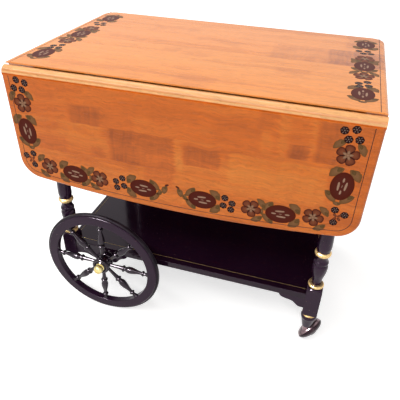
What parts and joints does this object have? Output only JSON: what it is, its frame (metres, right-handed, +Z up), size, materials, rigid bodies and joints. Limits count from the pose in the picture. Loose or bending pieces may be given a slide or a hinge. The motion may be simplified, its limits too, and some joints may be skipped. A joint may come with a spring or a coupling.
{
  "type": "drop leaf tea trolley",
  "caption": "Wooden tea trolley with one drop leaf, lower shelf, turned legs, spoked wheels and swivel ball casters.",
  "frame": {"origin": "on the floor, under the centre of the closed trolley", "axes": "+Z up; +X along the trolley from the wheel end to the caster end; the leaf hangs on the -Y side"},
  "size_m": [0.86, 0.6618, 0.731],
  "materials": {
    "top_board": "honey-coloured maple under clear satin varnish",
    "leaf_board": "honey-coloured maple under clear satin varnish",
    "apron_paint": "black paint, satin",
    "leg_paint": "black paint with gilt rings, satin",
    "shelf_paint": "black paint with a fine gilt line, satin",
    "bracket_paint": "black paint, satin",
    "rim_paint": "black paint, satin",
    "spoke_paint": "black paint, gloss",
    "hub_paint": "black paint, gloss",
    "cap_gilt": "gilt, satin",
    "tyre_rubber": "solid black rubber",
    "hinge_steel": "plain steel, slightly dulled",
    "stay_steel": "plain steel, slightly dulled",
    "screw_steel": "zinc-plated steel",
    "axle_steel": "bright drawn steel",
    "bush_brass": "turned brass",
    "block_wood": "bare wood",
    "dowel_wood": "bare beech",
    "hood_paint": "dark bronze enamel on pressed steel",
    "caster_tread": "hard dark rubber"
  },
  "bodies": {
    "frame": {"table_top": "top_board", "hinge_top_plates": "hinge_steel", "hinge_pins": "hinge_steel", "hinge_top_screws": "screw_steel", "top_screws": "screw_steel", "stay_brackets": "stay_steel", "stay_pivots": "stay_steel", "stay_screws": "screw_steel", "apron_near": "apron_paint", "apron_far": "apron_paint", "apron_wheel_end": "apron_paint", "apron_caster_end": "apron_paint", "corner_blocks": "block_wood", "apron_dowels": "dowel_wood", "shelf_dowels": "dowel_wood", "shelf": "shelf_paint", "shelf_screws": "screw_steel", "axle": "axle_steel", "axle_washers": "axle_steel", "axle_retainers": "axle_steel", "leg_wheel_end_near": "leg_paint", "leg_wheel_end_far": "leg_paint", "leg_caster_end_near": "leg_paint", "leg_caster_end_far": "leg_paint", "bracket_caster_end_near": "bracket_paint", "axle_board_near": "bracket_paint", "caster_near_socket": "hinge_steel", "bracket_caster_end_far": "bracket_paint", "axle_board_far": "bracket_paint", "caster_far_socket": "hinge_steel"},
    "leaf": {"drop_leaf": "leaf_board", "hinge_leaf_plates": "hinge_steel", "leaf_screws": "screw_steel", "stay_catches": "stay_steel"},
    "stay_wheel_end": {"stay_arm_wheel_end": "stay_steel"},
    "stay_caster_end": {"stay_arm_caster_end": "stay_steel"},
    "wheel_near": {"wheel_near_rim": "rim_paint", "wheel_near_tyre": "tyre_rubber", "wheel_near_spokes": "spoke_paint", "wheel_near_hub": "hub_paint", "wheel_near_bush": "bush_brass", "wheel_near_hub_cap": "cap_gilt"},
    "caster_near_swivel": {"caster_near_hood": "hood_paint", "caster_near_pin": "axle_steel"},
    "caster_near_roller": {"caster_near_wheel": "caster_tread"},
    "wheel_far": {"wheel_far_rim": "rim_paint", "wheel_far_tyre": "tyre_rubber", "wheel_far_spokes": "spoke_paint", "wheel_far_hub": "hub_paint", "wheel_far_bush": "bush_brass", "wheel_far_hub_cap": "cap_gilt"},
    "caster_far_swivel": {"caster_far_hood": "hood_paint", "caster_far_pin": "axle_steel"},
    "caster_far_roller": {"caster_far_wheel": "caster_tread"}
  },
  "joints": [
    {"name": "leaf_hinge", "type": "hinge", "parent": "frame", "child": "leaf", "pos_m": [0, -0.2675, 0.709], "axis": [-1, 0, 0], "range_deg": [0, 90]},
    {"name": "stay_wheel_end_swing", "type": "hinge", "parent": "frame", "child": "stay_wheel_end", "pos_m": [-0.14, -0.2555, 0.639], "axis": [-1, 0, 0], "range_deg": [0, 118]},
    {"name": "stay_caster_end_swing", "type": "hinge", "parent": "frame", "child": "stay_caster_end", "pos_m": [0.14, -0.2555, 0.639], "axis": [-1, 0, 0], "range_deg": [0, 118]},
    {"name": "wheel_near_spin", "type": "hinge", "parent": "frame", "child": "wheel_near", "pos_m": [-0.224, -0.29, 0.173], "axis": [0, 1, 0], "continuous": true},
    {"name": "caster_near_turn", "type": "hinge", "parent": "frame", "child": "caster_near_swivel", "pos_m": [0.37, -0.236, 0.03488], "axis": [0, 0, 1], "continuous": true},
    {"name": "caster_near_roll", "type": "hinge", "parent": "caster_near_swivel", "child": "caster_near_roller", "pos_m": [0.3808, -0.21569, 0.03488], "axis": [-0.7568, 0.4024, 0.515], "continuous": true},
    {"name": "wheel_far_spin", "type": "hinge", "parent": "frame", "child": "wheel_far", "pos_m": [-0.224, 0.29, 0.173], "axis": [0, 1, 0], "continuous": true},
    {"name": "caster_far_turn", "type": "hinge", "parent": "frame", "child": "caster_far_swivel", "pos_m": [0.37, 0.236, 0.03488], "axis": [0, 0, 1], "continuous": true},
    {"name": "caster_far_roll", "type": "hinge", "parent": "caster_far_swivel", "child": "caster_far_roller", "pos_m": [0.3808, 0.21569, 0.03488], "axis": [-0.7568, -0.4024, 0.515], "continuous": true}
  ],
  "couplings": [
    {"joint": "stay_wheel_end_swing", "follows": "leaf_hinge", "ratio": 1.3111},
    {"joint": "stay_caster_end_swing", "follows": "leaf_hinge", "ratio": 1.3111}
  ]
}
